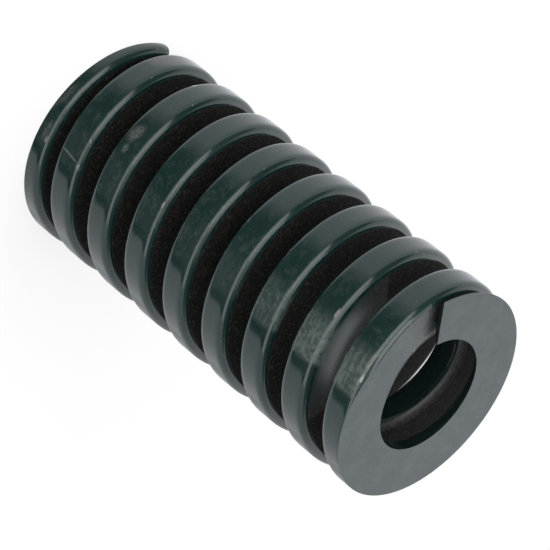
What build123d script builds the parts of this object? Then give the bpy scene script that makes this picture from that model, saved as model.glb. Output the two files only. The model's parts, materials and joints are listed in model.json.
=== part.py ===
from build123d import *
import math
import os

# Die spring, wound right-handed from rounded rectangular wire, ends closed and ground flat.
# It stands on its bottom ground end: z = 0 is that end and +Z runs up the axis.
# The bottom cut end of the wire lies over +X.

# sizes that drive the part, in millimetres and turns
free_length = 51.0           # ground end to ground end, unloaded
hole_diameter = 25.0         # pocket the spring drops into
hole_clearance = 0.5         # room between the pocket and the coils, on the diameter
rod_diameter = 12.5          # guide rod through the coils
rod_clearance = 0.7          # room between the coils and the rod, on the diameter
wire_height = 3.75           # wire size along the axis
corner_radius = 0.9          # rounding of the wire's four long edges
total_turns = 9.085          # cut end to cut end
bottom_closing_turns = 1.0   # length of wire over which the pitch opens above the bottom end
top_closing_turns = 0.8      # length of wire over which the pitch closes below the top end
bottom_gap = 0.6             # left between the bottom cut end and the coil above it
top_gap = 0.35               # left between the top cut end and the coil below it
bottom_tip_height = 1.3      # wire left standing at the bottom cut end after grinding
top_tip_height = 0.5         # wire left standing at the top cut end after grinding

# how the coil is laid out
sections_per_turn = 16
longest_piece = 0.95         # turns of wire shaped at a time
turning_stock = 0.02         # wire beyond each land, turned away to leave true cylinders

# sizes that follow
outer_radius = (hole_diameter - hole_clearance) / 2
inner_radius = (rod_diameter + rod_clearance) / 2
wire_width = outer_radius - inner_radius
mean_radius = (outer_radius + inner_radius) / 2
bottom_rise = wire_height + bottom_gap
top_rise = wire_height + top_gap
start_height = bottom_tip_height - wire_height / 2
end_height = free_length - top_tip_height + wire_height / 2
pitch = (end_height - start_height - bottom_rise - top_rise) / (total_turns - 2)


def rise_from_end(turns, first_rise, closing_turns):
    """Height gained over some turns from a cut end, where the pitch opens evenly at first."""
    end_pitch = pitch - 2 * (pitch - first_rise) / closing_turns
    inside = min(turns, closing_turns)
    gained = end_pitch * inside + (pitch - end_pitch) * inside ** 2 / (2 * closing_turns)
    return gained + pitch * (turns - inside)


def coil_height(turns):
    """Height of the wire's centre, counted in turns from the bottom cut end."""
    if turns <= total_turns / 2:
        return start_height + rise_from_end(turns, bottom_rise, bottom_closing_turns)
    return end_height - rise_from_end(total_turns - turns, top_rise, top_closing_turns)


def wire_section(turns):
    """Upright outline of the wire, a little wide so that its lands can be turned true."""
    angle = 2 * math.pi * turns
    outward = Vector(math.cos(angle), math.sin(angle), 0)
    centre = outward * mean_radius + Vector(0, 0, coil_height(turns))
    plane = Plane(origin=centre, x_dir=outward, z_dir=outward.cross(Vector(0, 0, 1)))
    return plane * RectangleRounded(wire_width + 2 * turning_stock, wire_height, corner_radius)


def ground_sleeve():
    """The room the finished spring fills: true outside, true bore and two ground ends."""
    up = (Align.CENTER, Align.CENTER, Align.MIN)
    outside = Cylinder(outer_radius, free_length, align=up)
    bore = Cylinder(inner_radius, free_length, align=up)
    return outside - bore


def coil_piece(first, last):
    """The wire between two turn counts, turned to size and ground."""
    count = math.ceil((last - first) * sections_per_turn)
    sections = []
    for step in range(count + 1):
        sections.append(wire_section(first + (last - first) * step / count))
    return loft(sections) & ground_sleeve()


def spring_coil():
    """The whole spring, one length of wire."""
    count = math.ceil(total_turns / longest_piece)
    ends = [total_turns * step / count for step in range(count + 1)]
    pieces = [coil_piece(first, last) for first, last in zip(ends, ends[1:])]
    return pieces[0].fuse(*pieces[1:])


os.makedirs("parts", exist_ok=True)
export_step(spring_coil(), "parts/spring_coil.step")
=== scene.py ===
import bmesh
import bpy
import json
import math
from mathutils import Matrix, Quaternion, Vector


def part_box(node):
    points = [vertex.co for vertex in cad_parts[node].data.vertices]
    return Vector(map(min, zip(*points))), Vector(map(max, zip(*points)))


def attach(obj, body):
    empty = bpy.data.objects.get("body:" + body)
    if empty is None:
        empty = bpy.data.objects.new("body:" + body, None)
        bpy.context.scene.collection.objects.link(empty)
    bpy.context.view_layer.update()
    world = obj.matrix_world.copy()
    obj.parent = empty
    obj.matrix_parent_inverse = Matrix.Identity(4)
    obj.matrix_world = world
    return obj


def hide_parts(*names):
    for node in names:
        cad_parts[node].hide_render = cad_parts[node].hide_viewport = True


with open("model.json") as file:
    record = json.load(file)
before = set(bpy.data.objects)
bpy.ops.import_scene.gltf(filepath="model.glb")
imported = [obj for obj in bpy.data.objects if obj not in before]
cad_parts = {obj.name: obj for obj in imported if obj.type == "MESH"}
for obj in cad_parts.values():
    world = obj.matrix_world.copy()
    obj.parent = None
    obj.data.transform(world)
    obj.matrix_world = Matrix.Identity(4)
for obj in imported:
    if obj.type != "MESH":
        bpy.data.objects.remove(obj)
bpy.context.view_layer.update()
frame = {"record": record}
lowCorner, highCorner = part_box("spring_coil")
freeLength = highCorner.z - lowCorner.z
outerRadius = (highCorner.x - lowCorner.x) / 2
guideBore = next(mount for mount in frame["record"]["mounts"] if mount["name"] == "guide_bore")
boreRadius = guideBore["dims"]["r_mm"] / 1000
print("frame: spring", round(freeLength * 1000, 2), "mm long,", round(outerRadius * 2000, 2), "mm across")


# the wire, one length wound right-handed from the bottom cut end, which lies over +X
wire = {
    "height": 0.00375,         # along the axis, in metres
    "cornerRadius": 0.0009,
    "turns": 9.085,            # cut end to cut end
    "bottomClosing": 1.0,      # turns over which the pitch opens above the bottom end
    "topClosing": 0.8,
    "bottomGap": 0.0006,       # under the first full coil, at the cut end
    "topGap": 0.00035,
    "bottomTip": 0.0013,       # wire left standing at the cut end after grinding
    "topTip": 0.0005,
    "groundEdge": 0.00012,     # the paint rounds the ground edges by this much
    "stepsPerTurn": 96,
    "cornerSegments": 7,
    "flatCuts": 5,
}
wireWidth = outerRadius - boreRadius
meanRadius = (outerRadius + boreRadius) / 2
startHeight = wire["bottomTip"] - wire["height"] / 2
endHeight = freeLength - wire["topTip"] + wire["height"] / 2
bottomRise = wire["height"] + wire["bottomGap"]
topRise = wire["height"] + wire["topGap"]
pitch = (endHeight - startHeight - bottomRise - topRise) / (wire["turns"] - 2)


def riseFromEnd(turns, firstRise, closing):
    endPitch = pitch - 2 * (pitch - firstRise) / closing
    inside = min(turns, closing)
    return endPitch * inside + (pitch - endPitch) * inside ** 2 / (2 * closing) + pitch * (turns - inside)


def coilHeight(turns):     # height of the wire's centre, in turns from the bottom cut end
    if turns <= wire["turns"] / 2:
        return startHeight + riseFromEnd(turns, bottomRise, wire["bottomClosing"])
    return endHeight - riseFromEnd(wire["turns"] - turns, topRise, wire["topClosing"])


def turnsAt(point):        # which turn of the wire a point of the mesh lies on
    share = math.atan2(point.y, point.x) / (2 * math.pi)
    whole = range(-1, math.ceil(wire["turns"]) + 1)
    near = [min(max(count + share, 0), wire["turns"]) for count in whole]
    return min(near, key=lambda turns: abs(coilHeight(turns) - point.z))


def wireOutline(work):     # rounded rectangle, upright, at the bottom cut end
    made = bmesh.ops.create_grid(work, x_segments=1, y_segments=1, size=0.5)
    corners = made["verts"]
    bmesh.ops.scale(work, vec=(wireWidth, wire["height"], 1), verts=corners)
    bmesh.ops.rotate(work, cent=(0, 0, 0), matrix=Matrix.Rotation(math.radians(90), 3, "X"), verts=corners)
    bmesh.ops.bevel(work, geom=corners, offset=wire["cornerRadius"], segments=wire["cornerSegments"],
                    profile=0.5, affect="VERTICES", material=-1)
    bmesh.ops.delete(work, geom=work.faces[:], context="FACES_ONLY")
    flats = [edge for edge in work.edges if edge.calc_length() > wire["cornerRadius"]]
    bmesh.ops.subdivide_edges(work, edges=flats, cuts=wire["flatCuts"])
    bmesh.ops.translate(work, vec=(meanRadius, 0, coilHeight(0)), verts=work.verts[:])
    return work.edges[:]


def grindEnd(work, height, outward):
    everything = work.verts[:] + work.edges[:] + work.faces[:]
    cut = bmesh.ops.bisect_plane(work, geom=everything, dist=1e-8, plane_co=(0, 0, height),
                                 plane_no=(0, 0, outward), clear_outer=True)
    rim = [item for item in cut["geom_cut"] if isinstance(item, bmesh.types.BMEdge)]
    bmesh.ops.edgeloop_fill(work, edges=rim, mat_nr=1)


def sweepWire(work, ring, start, end, evenly):     # winds the ring on, in one spin where the pitch is even
    steps = round((end - start) * wire["stepsPerTurn"])
    stops = [start, end] if evenly else [start + (end - start) * step / steps for step in range(steps + 1)]
    for turns, following in zip(stops, stops[1:]):
        pieces = steps if evenly else 1
        rise = (coilHeight(following) - coilHeight(turns)) / pieces
        swept = bmesh.ops.spin(work, geom=ring, cent=(0, 0, 0), axis=(0, 0, 1), dvec=(0, 0, rise),
                               angle=2 * math.pi * (following - turns), steps=pieces, use_duplicate=False)
        ring = [item for item in swept["geom_last"] if isinstance(item, bmesh.types.BMEdge)]
    return ring


def buildSpring():
    work = bmesh.new()
    outline = wireOutline(work)
    opened = wire["bottomClosing"]                 # turn count where the even pitch starts
    closing = wire["turns"] - wire["topClosing"]   # and where it ends
    ring = sweepWire(work, outline, 0, opened, False)
    ring = sweepWire(work, ring, opened, closing, True)
    ring = sweepWire(work, ring, closing, wire["turns"], False)
    bmesh.ops.edgeloop_fill(work, edges=outline)
    bmesh.ops.edgeloop_fill(work, edges=ring)
    grindEnd(work, 0, -1)
    grindEnd(work, freeLength, 1)
    bmesh.ops.recalc_face_normals(work, faces=work.faces[:])
    closed = [edge for edge in work.edges if len(edge.link_faces) == 2]
    sharp = [edge for edge in closed if edge.calc_face_angle() > math.radians(sharpAngle)]
    bmesh.ops.bevel(work, geom=sharp, offset=wire["groundEdge"], offset_type="OFFSET", segments=2,
                    profile=0.5, affect="EDGES", clamp_overlap=True, material=-1)
    return work


def nameWirePlaces(mesh):  # how far along the wire each point is, and where it is in the wire's section
    place = mesh.attributes.new("wirePlace", "FLOAT_VECTOR", "POINT")
    for vertex in mesh.vertices:
        turns = turnsAt(vertex.co)
        across = math.hypot(vertex.co.x, vertex.co.y) - meanRadius
        upright = vertex.co.z - coilHeight(turns)
        place.data[vertex.index].vector = (turns * 2 * math.pi * meanRadius, across, upright)


groundFace = {                 # the satin paint on the ground ends
    "green": (0.020, 0.034, 0.035),
    "fleck": (0.090, 0.105, 0.105),
    # dark: dirt and painted shade beside the cut
    "grimeAndShade": (0.012, 0.010, 0.009),
    "roughness": 0.36,
    "tooth": 0.0000035,        # height of the grinding's texture under the paint, in metres
    "unground": 0.0015,        # how far below the end the wire's own face still has this finish
    "shadeBesideCut": (0.0004, 0.0007),  # depth below the end over which dirt and painted shade darken the wire beside the cut
    "toothSize": 0.00022,      # sizes of its patterns
    "cloudSize": 0.0022,
    "fleckSize": 0.00016,
    "dirtSize": 0.0004,
    "unevenSize": 0.0012,
}
lessShadedStretch = (7.15, 7.31)    # turns between which a coil's upper face has little of the dirt and painted shade, so it shows lighter
lessShadedFade = 0.05               # turns over which the dirt and painted shade come back at each end
sharpAngle = 35                # degrees: edges sharper than this are the ground ones
glossyFinish, groundFinish, grimeAndShadeFinish = range(3)     # places in the list of materials


def chooseFinish(mesh):
    flatHalf = wireWidth / 2 - wire["cornerRadius"]
    first, last = lessShadedStretch[0] - lessShadedFade, lessShadedStretch[1] + lessShadedFade
    for face in mesh.polygons:
        centre = face.center
        between = abs(math.hypot(centre.x, centre.y) - meanRadius) < flatHalf
        # a stretch of upper faces where the dirt and painted shade are left off
        lessShaded = face.normal.z > 0 and first < turnsAt(centre) < last
        if centre.z > freeLength - groundFace["unground"] and face.normal.z > 0.99:
            face.material_index = groundFinish
        # the faces between the coils take the material of dirt and painted shade
        elif between and face.material_index == glossyFinish and not lessShaded:
            face.material_index = grimeAndShadeFinish
        face.use_smooth = face.material_index != groundFinish


work = buildSpring()
springMesh = bpy.data.meshes.new("springWire")
work.to_mesh(springMesh)
work.free()
chooseFinish(springMesh)
spring = bpy.data.objects.new("springWire", springMesh)
bpy.context.scene.collection.objects.link(spring)
nameWirePlaces(springMesh)
print("spring:", len(springMesh.polygons), "faces")


# the paint: glossy green; dust and a painted reflection along one side; dirt and painted shade between the
# coils, on the inner roundings and in the bore; scuffed and chipped on the outside
paint = {
    "green": (0.0046, 0.0223, 0.0200),
    "paleGreen": (0.0100, 0.0290, 0.0262),
    "roughness": 0.13,
    # pale: dust specks, and dust with a painted reflection along one side
    "dustAndSheen": (0.120, 0.150, 0.135),
    "dustAndSheenShare": 0.85,
    # dark: dirt and painted shade between the coils and on the inner roundings
    "grimeAndShade": (0.0052, 0.0052, 0.0050),
    "grimeSpeckle": (0.070, 0.060, 0.054),
    "grimeGloss": 0.15,
    # painted shade: the bore side of the wire darker
    "boreShadeGreen": (0.0050, 0.0085, 0.0080),
    "bareEdge": (0.34, 0.33, 0.31),
    "peel": 0.000004,          # height of the orange peel, in metres
    "speckShare": 0.30,
    "boreShadeShare": 0.7,
    "wornShare": 0.55,
}
grainSize = {                  # sizes of the paint's patterns, in metres
    "drift": 0.0035,
    "speck": 0.00032,
    "streak": 0.0004,
    "spot": 0.0005,
    "faint": 0.0008,
    "speckle": 0.00030,
    "bare": 0.0020,
    "worn": 0.0006,
    "ragged": 0.00022,
    "handled": 0.004,
    "peel": 0.0011,
}
dulling = {                    # how much each adds to the paint's roughness
    "dustAndSheen": 0.30,
    "grimeAndShade": 0.62,
    "mark": 0.40,
    "handling": 0.05,
}
dustAndSheenStrip = {                 # the side with dust streaks and a painted reflection, lighter at the same azimuth on each coil: degrees about the axis, and turns of wire
    "azimuth": (75, 96),
    "soft": (14, 3),
    "turns": (4.6, 7.6),       # none, full strength
    "thinnest": 0.28,          # cover between the streaks
    "faintAzimuth": (50, 97),  # thinner dust and painted reflection, all the way along
    "faintSoft": (30, 3),
    "faintShare": 0.22,
    "streakLength": 4,         # times its width
}
marks = [                      # on the outside of the wire; turns, height in the wire and sizes in metres
    {"name": "long scratch", "turns": 1.253, "upright": -0.0001, "long": 0.00012, "high": 0.0017, "lean": 8,
     "colour": (0.13, 0.16, 0.15), "share": 0.75},
    {"name": "scratched edge", "turns": 1.261, "upright": 0.00150, "long": 0.0003, "high": 0.00016, "lean": 0,
     "colour": (0.26, 0.28, 0.27), "share": 0.6},
    {"name": "brown scuff", "turns": 1.044, "upright": -0.0003, "long": 0.0019, "high": 0.0011, "lean": 20,
     "colour": (0.17, 0.145, 0.135), "share": 0.45},
    {"name": "grey scuff", "turns": 2.172, "upright": -0.0004, "long": 0.0011, "high": 0.0008, "lean": 30,
     "colour": (0.15, 0.15, 0.14), "share": 0.5},
    {"name": "pale dab", "turns": 2.198, "upright": -0.0003, "long": 0.0005, "high": 0.0004, "lean": 0,
     "colour": (0.14, 0.16, 0.15), "share": 0.5},
    {"name": "white fleck", "turns": 2.048, "upright": -0.0013, "long": 0.0004, "high": 0.00018, "lean": 0,
     "colour": (0.75, 0.74, 0.72), "share": 0.95},
    {"name": "first coil dab", "turns": 0.258, "upright": 0.0013, "long": 0.0004, "high": 0.00018, "lean": 0,
     "colour": (0.26, 0.28, 0.27), "share": 0.6},
    {"name": "first coil rub", "turns": 0.247, "upright": 0.0009, "long": 0.0010, "high": 0.0004, "lean": 10,
     "colour": (0.12, 0.14, 0.13), "share": 0.45},
    {"name": "first coil smear", "turns": 0.192, "upright": 0.0005, "long": 0.0016, "high": 0.0005,
     "lean": 12,
     "colour": (0.10, 0.11, 0.10), "share": 0.45},
    {"name": "edge chip", "turns": 8.240, "upright": 0.00150, "long": 0.0006, "high": 0.00028, "lean": 0,
     "colour": (0.42, 0.40, 0.37), "share": 0.8},
    {"name": "rub above the chip", "turns": 8.214, "upright": 0.0014, "long": 0.0009, "high": 0.0003,
     "lean": 0,
     "colour": (0.20, 0.18, 0.17), "share": 0.6},
    {"name": "eighth coil chip", "turns": 7.192, "upright": 0.0013, "long": 0.0005, "high": 0.00018,
     "lean": 0,
     "colour": (0.32, 0.27, 0.25), "share": 0.7},
    {"name": "fourth coil chip", "turns": 3.226, "upright": 0.0014, "long": 0.0003, "high": 0.00012,
     "lean": 0,
     "colour": (0.34, 0.33, 0.31), "share": 0.6},
]


def newMaterial(name):
    material = bpy.data.materials.new(name)
    material.use_nodes = True
    tree = material.node_tree
    tree.nodes.clear()
    return material, tree


def newPaint(name):        # a shader joined to its output, and the Object coordinates
    material, tree = newMaterial(name)
    shader = tree.nodes.new("ShaderNodeBsdfPrincipled")
    output = tree.nodes.new("ShaderNodeOutputMaterial")
    tree.links.new(shader.outputs["BSDF"], output.inputs["Surface"])
    return material, tree, shader, tree.nodes.new("ShaderNodeTexCoord").outputs["Object"]


def maths(tree, operation, first, second=None, third=None):
    node = tree.nodes.new("ShaderNodeMath")
    node.operation = operation
    for socket, value in zip(node.inputs, (first, second, third)):
        if isinstance(value, (int, float)):
            socket.default_value = value
        elif value is not None:
            tree.links.new(value, socket)
    return node.outputs[0]


def ramp(tree, value, start, end):     # rises smoothly from 0 at start to 1 at end, whichever is larger
    node = tree.nodes.new("ShaderNodeMapRange")
    node.interpolation_type = "SMOOTHSTEP"
    tree.links.new(value, node.inputs["Value"])
    node.inputs["From Min"].default_value = min(start, end)
    node.inputs["From Max"].default_value = max(start, end)
    if start > end:
        node.inputs["To Min"].default_value = 1
        node.inputs["To Max"].default_value = 0
    return node.outputs[0]


def within(tree, value, low, high, lowSoft, highSoft):     # 1 between low and high, 0 outside
    rising = ramp(tree, value, low - lowSoft / 2, low + lowSoft / 2)
    falling = ramp(tree, value, high + highSoft / 2, high - highSoft / 2)
    return maths(tree, "MULTIPLY", rising, falling)


def grain(tree, vector, size, detail=2.0, roughness=0.5, stretch=None):    # noise, size in metres
    if stretch:
        stretched = tree.nodes.new("ShaderNodeMapping")
        stretched.inputs["Scale"].default_value = stretch
        tree.links.new(vector, stretched.inputs["Vector"])
        vector = stretched.outputs[0]
    noise = tree.nodes.new("ShaderNodeTexNoise")
    noise.inputs["Scale"].default_value = 1 / size
    noise.inputs["Detail"].default_value = detail
    noise.inputs["Roughness"].default_value = roughness
    tree.links.new(vector, noise.inputs["Vector"])
    return noise.outputs[0]


def blendColour(tree, share, under, over):
    node = tree.nodes.new("ShaderNodeMix")
    node.data_type = "RGBA"
    colourSockets = [socket for socket in node.inputs if socket.type == "RGBA"]
    tree.links.new(share, node.inputs[0])
    for socket, colour in zip(colourSockets, (under, over)):
        if isinstance(colour, tuple):
            socket.default_value = (*colour, 1)
        else:
            tree.links.new(colour, socket)
    return next(socket for socket in node.outputs if socket.type == "RGBA")


def roughen(tree, shader, height, distance, strength=1.0):
    bump = tree.nodes.new("ShaderNodeBump")
    bump.inputs["Strength"].default_value = strength
    bump.inputs["Distance"].default_value = distance
    tree.links.new(height, bump.inputs["Height"])
    tree.links.new(bump.outputs[0], shader.inputs["Normal"])


def markShare(tree, wirePlace, mark):  # an oval spot on the outside of the wire
    spot = tree.nodes.new("ShaderNodeMapping")
    spot.label = mark["name"]
    spot.vector_type = "TEXTURE"
    spot.inputs["Location"].default_value = (mark["turns"] * 2 * math.pi * meanRadius, wireWidth / 2,
                                             mark["upright"])
    spot.inputs["Rotation"].default_value = (0, math.radians(mark["lean"]), 0)
    spot.inputs["Scale"].default_value = (mark["long"], wire["cornerRadius"], mark["high"])
    tree.links.new(wirePlace, spot.inputs["Vector"])
    distance = tree.nodes.new("ShaderNodeVectorMath")
    distance.operation = "LENGTH"
    tree.links.new(spot.outputs[0], distance.inputs[0])
    return maths(tree, "MULTIPLY", ramp(tree, distance.outputs["Value"], 1.15, 0.45), mark["share"])


def grimeSpeckle(tree, spot):
    specks = grain(tree, spot, grainSize["speckle"], 4, 0.75)
    return maths(tree, "MULTIPLY", ramp(tree, specks, 0.50, 0.66), 0.7)


def grimeAndShadePaint():          # the faces between the coils: dirt and painted shade, dark and dull, with fine brown specks
    material, tree, shader, spot = newPaint("grimeAndShadePaint")
    speckle = grimeSpeckle(tree, spot)
    colour = blendColour(tree, speckle, paint["grimeAndShade"], paint["grimeSpeckle"])
    bare = maths(tree, "MULTIPLY", ramp(tree, grain(tree, spot, grainSize["bare"], 4, 0.6), 0.55, 0.75), 0.5)
    colour = blendColour(tree, bare, colour, paint["green"])
    tree.links.new(colour, shader.inputs["Base Color"])
    tree.links.new(maths(tree, "MULTIPLY_ADD", speckle, 0.15, 0.75), shader.inputs["Roughness"])
    shader.inputs["Specular IOR Level"].default_value = paint["grimeGloss"]
    roughen(tree, shader, speckle, 3 * paint["peel"])
    return material


def greenPaint():
    material, tree, shader, spot = newPaint("greenPaint")
    link = tree.links.new
    attribute = tree.nodes.new("ShaderNodeAttribute")
    attribute.attribute_name = "wirePlace"
    wirePlace = attribute.outputs["Vector"]
    parts = tree.nodes.new("ShaderNodeSeparateXYZ")
    link(wirePlace, parts.inputs[0])
    turns = maths(tree, "DIVIDE", parts.outputs["X"], 2 * math.pi * meanRadius)
    across = maths(tree, "ABSOLUTE", parts.outputs["Y"])
    upright = maths(tree, "ABSOLUTE", parts.outputs["Z"])
    outside = ramp(tree, parts.outputs["Y"], 0, wireWidth / 3)
    azimuth = maths(tree, "MULTIPLY", maths(tree, "FRACT", turns), 360)

    # the colour drifts a little, with fine pale specks
    drift = ramp(tree, grain(tree, wirePlace, grainSize["drift"], 3, stretch=(0.4, 1, 1)), 0.35, 0.75)
    colour = blendColour(tree, drift, paint["green"], paint["paleGreen"])
    specks = ramp(tree, grain(tree, spot, grainSize["speck"], 2), 0.66, 0.78)
    colour = blendColour(tree, maths(tree, "MULTIPLY", specks, paint["speckShare"]), colour, paint["dustAndSheen"])

    # dust in streaks along one side, with a painted reflection: that side lighter at the same azimuth on each
    # coil
    low, high = dustAndSheenStrip["azimuth"]
    strip = maths(tree, "MULTIPLY", within(tree, azimuth, low, high, *dustAndSheenStrip["soft"]), outside)
    strip = maths(tree, "MULTIPLY", strip, ramp(tree, turns, *dustAndSheenStrip["turns"]))
    along = (1 / dustAndSheenStrip["streakLength"], 1, 1)
    streaks = grain(tree, wirePlace, grainSize["streak"], 4, 0.65, stretch=along)
    spots = grain(tree, spot, grainSize["spot"], 3, 0.6)
    cover = maths(tree, "MULTIPLY", ramp(tree, streaks, 0.28, 0.62), ramp(tree, spots, 0.30, 0.62))
    cover = maths(tree, "MULTIPLY_ADD", cover, 1 - dustAndSheenStrip["thinnest"], dustAndSheenStrip["thinnest"])
    dustAndSheenMask = maths(tree, "MULTIPLY", maths(tree, "MULTIPLY", strip, cover), paint["dustAndSheenShare"])
    faint = within(tree, azimuth, *dustAndSheenStrip["faintAzimuth"], *dustAndSheenStrip["faintSoft"])
    faint = maths(tree, "MULTIPLY", faint, outside)
    patches = grain(tree, wirePlace, grainSize["faint"], 4, 0.7)
    faint = maths(tree, "MULTIPLY", faint, ramp(tree, patches, 0.46, 0.74))
    dustAndSheenMask = maths(tree, "MAXIMUM", dustAndSheenMask, maths(tree, "MULTIPLY", faint, dustAndSheenStrip["faintShare"]))
    colour = blendColour(tree, dustAndSheenMask, colour, paint["dustAndSheen"])

    # dirt and painted shade: thinned on the lighter stretch, full on the inner roundings, where it also dims
    # the highlight in the bore; the other faces between coils have their own material
    flank = ramp(tree, across, wireWidth / 2 - 0.88 * wire["cornerRadius"],
                 wireWidth / 2 - 1.02 * wire["cornerRadius"])
    standing = ramp(tree, upright, wire["height"] / 2 - 0.2 * wire["cornerRadius"], wire["height"] / 2)
    flank = maths(tree, "MULTIPLY", flank, standing)
    inside = ramp(tree, parts.outputs["Y"], 0, -wireWidth / 3)
    rounding = ramp(tree, upright, wire["height"] / 2 - wire["cornerRadius"], wire["height"] / 2)
    flank = maths(tree, "MAXIMUM", flank, maths(tree, "MULTIPLY", inside, rounding))
    # painted shade: the bore side of the wire darker
    boreShade = maths(tree, "MULTIPLY", inside, paint["boreShadeShare"])
    colour = blendColour(tree, boreShade, colour, paint["boreShadeGreen"])
    # on the lighter stretch most of the dirt and painted shade is left off
    thin = maths(tree, "MULTIPLY", within(tree, turns, *lessShadedStretch, 2 * lessShadedFade, 2 * lessShadedFade),
                 ramp(tree, parts.outputs["Z"], -0.001, 0.001))
    thin = maths(tree, "MULTIPLY", maths(tree, "MULTIPLY", thin, 0.75), maths(tree, "SUBTRACT", 1, inside))
    grimeAndShadeShare = maths(tree, "MULTIPLY", flank, maths(tree, "SUBTRACT", 1, thin))
    speckle = grimeSpeckle(tree, spot)
    grimeAndShade = blendColour(tree, speckle, paint["grimeAndShade"], paint["grimeSpeckle"])
    colour = blendColour(tree, grimeAndShadeShare, colour, grimeAndShade)

    # paint worn off the edges in flecks
    rounded = within(tree, across, wireWidth / 2 - 0.6 * wire["cornerRadius"],
                     wireWidth / 2 - 0.08 * wire["cornerRadius"], 0.0001, 0.0001)
    edge = maths(tree, "MULTIPLY", rounded, outside)
    flecks = ramp(tree, grain(tree, wirePlace, grainSize["worn"], 3, 0.6, stretch=(0.5, 1, 1)), 0.68, 0.74)
    worn = maths(tree, "MULTIPLY", maths(tree, "MULTIPLY", edge, flecks), paint["wornShare"])
    colour = blendColour(tree, worn, colour, paint["bareEdge"])

    # the placed marks, with ragged outlines
    ragged = ramp(tree, grain(tree, spot, grainSize["ragged"], 4, 0.7), 0.34, 0.60)
    ragged = maths(tree, "MULTIPLY_ADD", ragged, 0.7, 0.3)
    marked = worn
    for mark in marks:
        share = maths(tree, "MULTIPLY", markShare(tree, wirePlace, mark), ragged)
        colour = blendColour(tree, share, colour, mark["colour"])
        marked = maths(tree, "MAXIMUM", marked, share)
    link(colour, shader.inputs["Base Color"])

    dull = maths(tree, "MULTIPLY", dustAndSheenMask, dulling["dustAndSheen"])
    dull = maths(tree, "ADD", dull, maths(tree, "MULTIPLY", grimeAndShadeShare, dulling["grimeAndShade"]))
    dull = maths(tree, "ADD", dull, maths(tree, "MULTIPLY", marked, dulling["mark"]))
    handled = maths(tree, "MULTIPLY", grain(tree, spot, grainSize["handled"], 3), dulling["handling"])
    dull = maths(tree, "ADD", dull, handled)
    lowest = paint["roughness"] - dulling["handling"] / 2
    link(maths(tree, "ADD", dull, lowest), shader.inputs["Roughness"])

    peel = grain(tree, spot, grainSize["peel"], 2, 0.5)
    peel = maths(tree, "ADD", peel, maths(tree, "MULTIPLY", maths(tree, "MULTIPLY", grimeAndShadeShare, speckle), 3.0))
    peel = maths(tree, "SUBTRACT", peel, maths(tree, "MULTIPLY", marked, 1.5))
    roughen(tree, shader, peel, paint["peel"])
    return material


def groundPaint():
    material, tree, shader, spot = newPaint("groundPaint")
    cloud = grain(tree, spot, groundFace["cloudSize"], 4, 0.6)
    cloud = maths(tree, "MULTIPLY", ramp(tree, cloud, 0.35, 0.75), 0.30)
    colour = blendColour(tree, cloud, groundFace["green"], groundFace["fleck"])
    fine = grain(tree, spot, groundFace["fleckSize"], 3, 0.7)
    fine = maths(tree, "MULTIPLY", ramp(tree, fine, 0.42, 0.70), 0.35)
    colour = blendColour(tree, fine, colour, groundFace["fleck"])
    height = tree.nodes.new("ShaderNodeSeparateXYZ")
    tree.links.new(spot, height.inputs[0])
    shallow, deep = groundFace["shadeBesideCut"]
    # dirt and painted shade on the wire just below the top cut, beside the tip
    shadeBesideCut = ramp(tree, height.outputs["Z"], freeLength - shallow, freeLength - deep)
    above = ramp(tree, height.outputs["Z"], freeLength / 2, freeLength / 2 + 0.001)
    grimeAndShadeShare = maths(tree, "MULTIPLY", maths(tree, "MULTIPLY", shadeBesideCut, above),
                  ramp(tree, grain(tree, spot, groundFace["dirtSize"], 4, 0.7), 0.40, 0.56))
    colour = blendColour(tree, grimeAndShadeShare, colour, groundFace["grimeAndShade"])
    tree.links.new(colour, shader.inputs["Base Color"])
    uneven = maths(tree, "MULTIPLY", grain(tree, spot, groundFace["unevenSize"], 3), 0.10)
    tree.links.new(maths(tree, "ADD", uneven, groundFace["roughness"] - 0.05), shader.inputs["Roughness"])
    roughen(tree, shader, grain(tree, spot, groundFace["toothSize"], 4, 0.7), groundFace["tooth"])
    return material


springMesh.materials.append(greenPaint())
springMesh.materials.append(groundPaint())
springMesh.materials.append(grimeAndShadePaint())
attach(spring, "root")
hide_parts("spring_coil")
print("paint: on")


# the floor, white to the eye and to the gloss of the paint, and keeping the spring's shadow
floorValues = {
    "size": 3.0,
    "albedo": 0.8,
    "shadowShare": 0.3,
    "glow": 0.76,
}


def floorWhite():
    material, tree = newMaterial("floorWhite")
    nodes, link = tree.nodes, tree.links.new
    ways = nodes.new("ShaderNodeLightPath")
    seen = nodes.new("ShaderNodeMath")
    seen.operation = "MAXIMUM"
    link(ways.outputs["Is Camera Ray"], seen.inputs[0])
    link(ways.outputs["Is Glossy Ray"], seen.inputs[1])
    lit = nodes.new("ShaderNodeBsdfDiffuse")
    lit.inputs["Color"].default_value = (floorValues["albedo"],) * 3 + (1,)
    shadowed = nodes.new("ShaderNodeBsdfDiffuse")
    shadowed.inputs["Color"].default_value = (floorValues["shadowShare"],) * 3 + (1,)
    glow = nodes.new("ShaderNodeEmission")
    glow.inputs["Strength"].default_value = floorValues["glow"]
    shown = nodes.new("ShaderNodeAddShader")
    link(shadowed.outputs[0], shown.inputs[0])
    link(glow.outputs[0], shown.inputs[1])
    mix = nodes.new("ShaderNodeMixShader")
    link(seen.outputs[0], mix.inputs[0])
    link(lit.outputs[0], mix.inputs[1])
    link(shown.outputs[0], mix.inputs[2])
    output = nodes.new("ShaderNodeOutputMaterial")
    link(mix.outputs[0], output.inputs["Surface"])
    return material


def buildFloor():
    work = bmesh.new()
    bmesh.ops.create_grid(work, x_segments=2, y_segments=2, size=floorValues["size"] / 2)
    mesh = bpy.data.meshes.new("floor")
    work.to_mesh(mesh)
    work.free()
    mesh.materials.append(floorWhite())
    floor = bpy.data.objects.new("floor", mesh)
    bpy.context.scene.collection.objects.link(floor)
    floor.visible_glossy = False     # the gloss sees the room's white there instead


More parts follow.
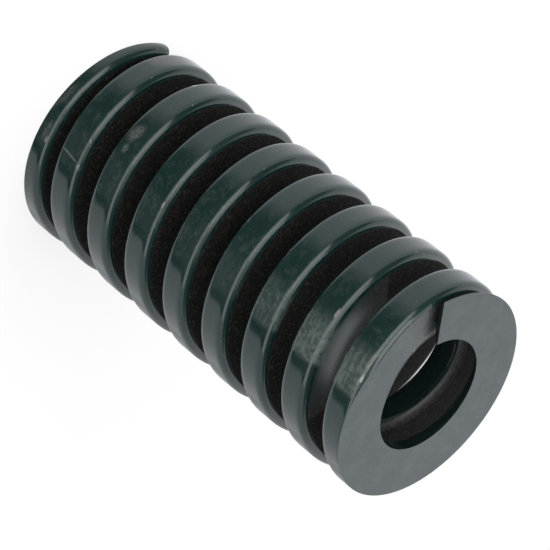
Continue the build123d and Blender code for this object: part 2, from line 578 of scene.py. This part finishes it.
buildFloor()
print("floor: laid")


# studio light: softboxes, and a room that only the gloss of the paint sees
studio = {
    "room": 1.1,               # how bright the room is to the gloss
    "fill": 0.35,              # how much the room lights everything else
    "tint": (0.97, 0.98, 1.02),
}
roomZones = [                  # azimuths and elevations in degrees, seen from the spring
    {"name": "dark front", "azimuth": (25, 134), "elevation": (-95, 11), "soft": (32, 4, 1, 4),
     "light": 0.13},
    {"name": "lit table in the dark front", "azimuth": (86, 124), "elevation": (-95, 3),
     "soft": (16, 2, 1, 4),
     "light": 0.30},
    {"name": "dark beside the left softbox", "azimuth": (-40, 15), "elevation": (8, 56),
     "soft": (14, 4, 8, 4),
     "light": 0.2},
    {"name": "dark above the right softbox", "azimuth": (110, 190), "elevation": (45, 75),
     "soft": (6, 12, 4, 8),
     "light": 0.2},
    {"name": "dim behind", "azimuth": (212, 258), "elevation": (-95, -10), "soft": (14, 28, 1, 10),
     "light": 0.62},
    {"name": "bright above the back", "azimuth": (205, 300), "elevation": (14, 62), "soft": (30, 30, 10, 14),
     "light": 1.5},
]
softboxes = [
    {"name": "leftSoftbox", "azimuth": 39, "elevation": 41, "wide": 48, "high": 36, "light": 2.4},
    {"name": "rightSoftbox", "azimuth": 101, "elevation": 28, "wide": 64, "high": 33, "light": 1.45},
    {"name": "topSoftbox", "azimuth": 324, "elevation": 76, "wide": 38, "high": 28, "light": 2.8},
]
softboxDistance = 0.6


def buildWorld():
    world = bpy.data.worlds.new("studio")
    world.use_nodes = True
    tree = world.node_tree
    tree.nodes.clear()
    link = tree.links.new
    direction = tree.nodes.new("ShaderNodeTexCoord")
    parts = tree.nodes.new("ShaderNodeSeparateXYZ")
    link(direction.outputs["Generated"], parts.inputs[0])
    elevation = maths(tree, "DEGREES", maths(tree, "ARCSINE", parts.outputs["Z"]))
    turned = maths(tree, "DEGREES", maths(tree, "ARCTAN2", parts.outputs["Y"], parts.outputs["X"]))
    light = None
    for zone in roomZones:
        start, end = zone["azimuth"]
        middle = (start + end) / 2
        away = maths(tree, "WRAP", maths(tree, "SUBTRACT", turned, middle), 180, -180)
        mask = within(tree, away, start - middle, end - middle, zone["soft"][0], zone["soft"][1])
        low, high = zone["elevation"]
        mask = maths(tree, "MULTIPLY", mask, within(tree, elevation, low, high, *zone["soft"][2:]))
        before = studio["room"] if light is None else light
        change = maths(tree, "MULTIPLY", mask, maths(tree, "SUBTRACT", zone["light"], before))
        light = maths(tree, "ADD", before, change)
        light.node.label = zone["name"]
    ways = tree.nodes.new("ShaderNodeLightPath")
    room = tree.nodes.new("ShaderNodeBackground")
    room.inputs["Color"].default_value = (*studio["tint"], 1)
    link(light, room.inputs["Strength"])
    fill = tree.nodes.new("ShaderNodeBackground")
    fill.inputs["Strength"].default_value = studio["fill"]
    white = tree.nodes.new("ShaderNodeBackground")
    white.inputs["Strength"].default_value = 1
    for background in (fill, white):
        background.inputs["Color"].default_value = (1, 1, 1, 1)
    gloss = tree.nodes.new("ShaderNodeMixShader")
    link(ways.outputs["Is Glossy Ray"], gloss.inputs[0])
    link(fill.outputs[0], gloss.inputs[1])
    link(room.outputs[0], gloss.inputs[2])
    seen = tree.nodes.new("ShaderNodeMixShader")
    link(ways.outputs["Is Camera Ray"], seen.inputs[0])
    link(gloss.outputs[0], seen.inputs[1])
    link(white.outputs[0], seen.inputs[2])
    output = tree.nodes.new("ShaderNodeOutputWorld")
    link(seen.outputs[0], output.inputs["Surface"])
    bpy.context.scene.world = world


def buildSoftbox(values):
    lamp = bpy.data.lights.new(values["name"], "AREA")
    lamp.shape = "RECTANGLE"
    lamp.size = 2 * softboxDistance * math.tan(math.radians(values["wide"] / 2))
    lamp.size_y = 2 * softboxDistance * math.tan(math.radians(values["high"] / 2))
    lamp.energy = values["light"] * math.pi * lamp.size * lamp.size_y
    box = bpy.data.objects.new(values["name"], lamp)
    azimuth, elevation = math.radians(values["azimuth"]), math.radians(values["elevation"])
    outward = Vector((math.cos(azimuth) * math.cos(elevation), math.sin(azimuth) * math.cos(elevation),
                      math.sin(elevation)))
    box.location = outward * softboxDistance + Vector((0, 0, freeLength / 2))
    box.rotation_euler = outward.to_track_quat("Z", "Y").to_euler()
    box.visible_camera = False
    bpy.context.scene.collection.objects.link(box)


buildWorld()
for values in softboxes:
    buildSoftbox(values)
print("light:", len(softboxes), "softboxes")


# the camera looks down the coils towards the bottom end, rolled so that the spring lies across the picture
view = {
    "azimuth": 72.0,           # degrees from +X
    "elevation": 33.06,
    "roll": 128.9,
    "distance": 0.3398,
    "aim": (-0.0003, 0.0001, 0.0275),
    "lens": 212.0,
}


def buildCamera():
    azimuth = math.radians(view["azimuth"])
    elevation = math.radians(view["elevation"])
    towardsCamera = Vector((math.cos(azimuth) * math.cos(elevation), math.sin(azimuth) * math.cos(elevation),
                            math.sin(elevation)))
    camera = bpy.data.objects.new("camera", bpy.data.cameras.new("camera"))
    camera.data.lens = view["lens"]
    camera.data.sensor_width = 36
    camera.data.clip_start = 0.01
    camera.data.clip_end = 10
    camera.location = Vector(view["aim"]) + towardsCamera * view["distance"]
    camera.rotation_mode = "QUATERNION"
    level = towardsCamera.to_track_quat("Z", "Y")
    camera.rotation_quaternion = level @ Quaternion((0, 0, 1), math.radians(view["roll"]))
    bpy.context.scene.collection.objects.link(camera)
    bpy.context.scene.camera = camera


buildCamera()
bpy.context.scene.view_settings.view_transform = "Standard"
print("camera: set")
